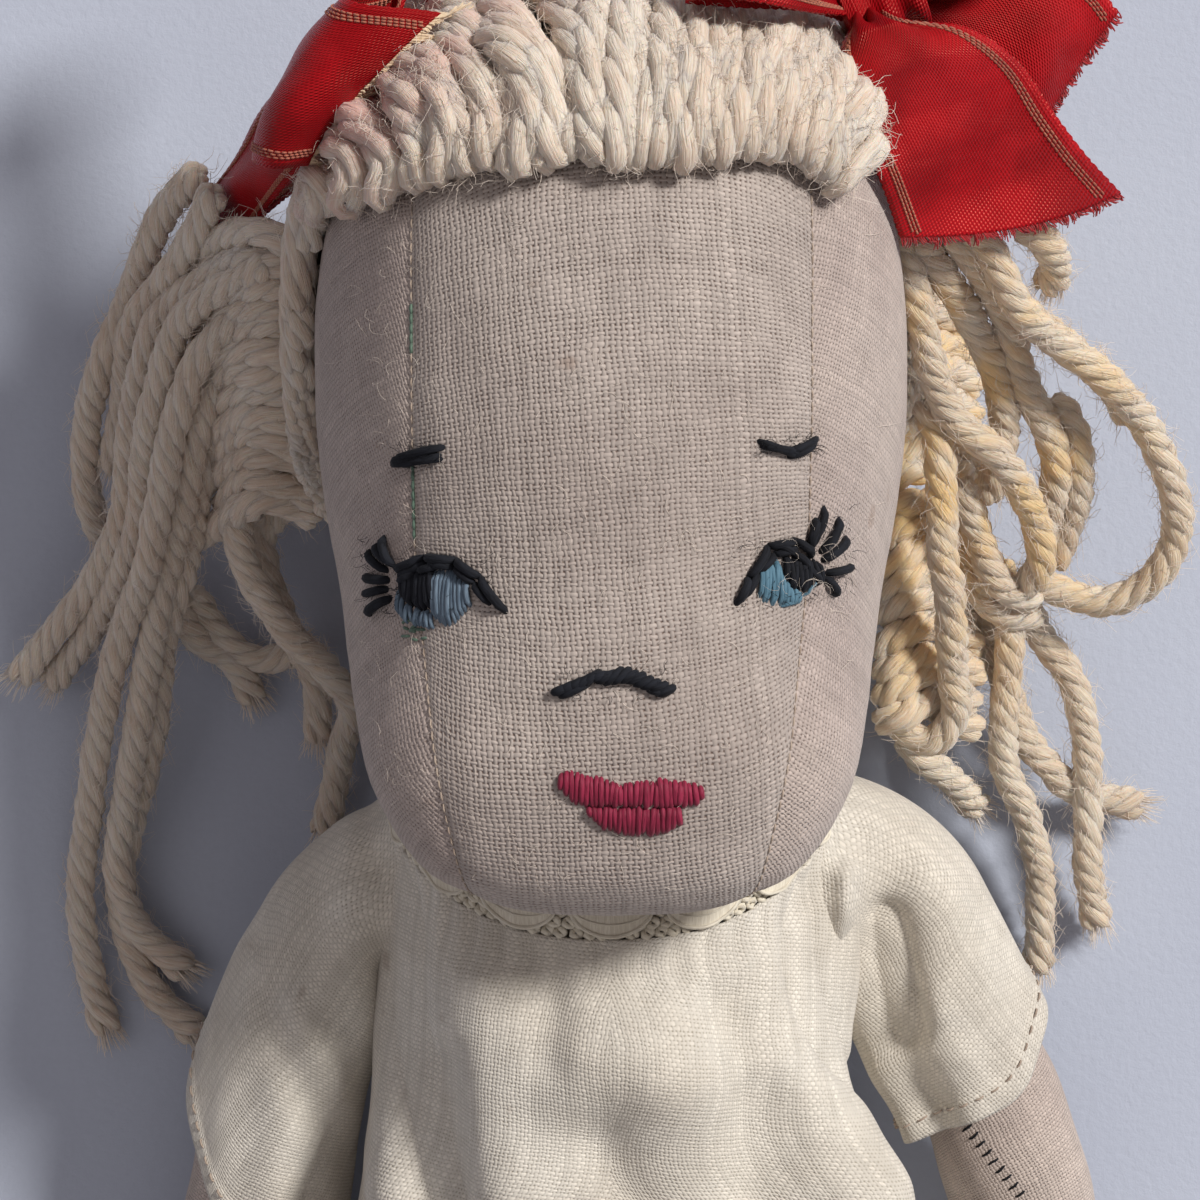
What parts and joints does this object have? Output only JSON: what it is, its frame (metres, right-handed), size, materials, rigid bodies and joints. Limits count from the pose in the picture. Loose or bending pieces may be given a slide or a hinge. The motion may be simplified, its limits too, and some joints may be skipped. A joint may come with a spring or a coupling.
{
  "type": "rag doll",
  "caption": "Stuffed cloth rag doll with stitched face, yarn hair tied with ribbon bows, smock and bloomers, jointed neck, shoulders and hips.",
  "frame": {"origin": "on the flat under the middle of the torso, at the back of the smock, the plane the doll lies on", "axes": "+Z out of the face, +Y towards the top of the head, +X towards the doll's own left"},
  "size_m": [0.1443, 0.4247, 0.0773],
  "materials": {
    "linen_skin": "open plain-weave linen",
    "stuffing": "loose cotton filling",
    "cream_cotton": "open plain-weave cotton",
    "yarn_hair": "plied cotton yarn",
    "red_ribbon": "satin ribbon",
    "crochet_lace": "crocheted cotton thread",
    "dark_thread": "stranded embroidery thread",
    "blue_thread": "stranded embroidery thread",
    "rose_thread": "stranded embroidery thread"
  },
  "bodies": {
    "torso": {"torso": "linen_skin", "smock_front": "cream_cotton", "smock_back": "cream_cotton", "neck_edging": "crochet_lace", "bloomer_seat": "cream_cotton"},
    "head": {"head_stuffing": "stuffing", "neck": "linen_skin", "face_panel": "linen_skin", "side_panel_l": "linen_skin", "side_panel_r": "linen_skin", "eye_l": "blue_thread", "eye_r": "blue_thread", "lid_l": "dark_thread", "lid_r": "dark_thread", "brow_l": "dark_thread", "brow_r": "dark_thread", "nose": "dark_thread", "lip_upper": "rose_thread", "lip_lower": "rose_thread", "hair_cap": "yarn_hair", "hair_fringe_l": "yarn_hair", "hair_fringe_r": "yarn_hair", "hair_side_l": "yarn_hair", "hair_side_r": "yarn_hair", "bow_l_knot": "red_ribbon", "bow_l_loop_in": "red_ribbon", "bow_l_loop_out": "red_ribbon", "bow_l_tail_front": "red_ribbon", "bow_l_tail_back": "red_ribbon", "bow_r_knot": "red_ribbon", "bow_r_loop_in": "red_ribbon", "bow_r_loop_out": "red_ribbon", "bow_r_tail_front": "red_ribbon", "bow_r_tail_back": "red_ribbon"},
    "arm_l": {"arm_l": "linen_skin", "sleeve_l": "cream_cotton"},
    "leg_l": {"leg_l": "linen_skin", "bloomer_leg_l": "cream_cotton", "bloomer_cuff_l": "crochet_lace"},
    "arm_r": {"arm_r": "linen_skin", "sleeve_r": "cream_cotton"},
    "leg_r": {"leg_r": "linen_skin", "bloomer_leg_r": "cream_cotton", "bloomer_cuff_r": "crochet_lace"}
  },
  "joints": [
    {"name": "neck_tilt", "type": "hinge", "parent": "torso", "child": "head", "pos_m": [0, 0.062, 0.03], "axis": [0, 0, 1], "range_deg": [-10, 10], "deforming": ["hair_side_l", "hair_side_r"]},
    {"name": "shoulder_swing_l", "type": "hinge", "parent": "torso", "child": "arm_l", "pos_m": [0.0253, 0.048, 0.024], "axis": [-1, 0, 0], "range_deg": [-20, 90]},
    {"name": "shoulder_swing_r", "type": "hinge", "parent": "torso", "child": "arm_r", "pos_m": [-0.0253, 0.0445, 0.024], "axis": [-1, 0, 0], "range_deg": [-20, 90]},
    {"name": "hip_swing_l", "type": "hinge", "parent": "torso", "child": "leg_l", "pos_m": [0.0186, -0.06, 0.02], "axis": [-1, 0, 0], "range_deg": [-15, 85]},
    {"name": "hip_swing_r", "type": "hinge", "parent": "torso", "child": "leg_r", "pos_m": [-0.0186, -0.06, 0.02], "axis": [-1, 0, 0], "range_deg": [-15, 85]}
  ]
}
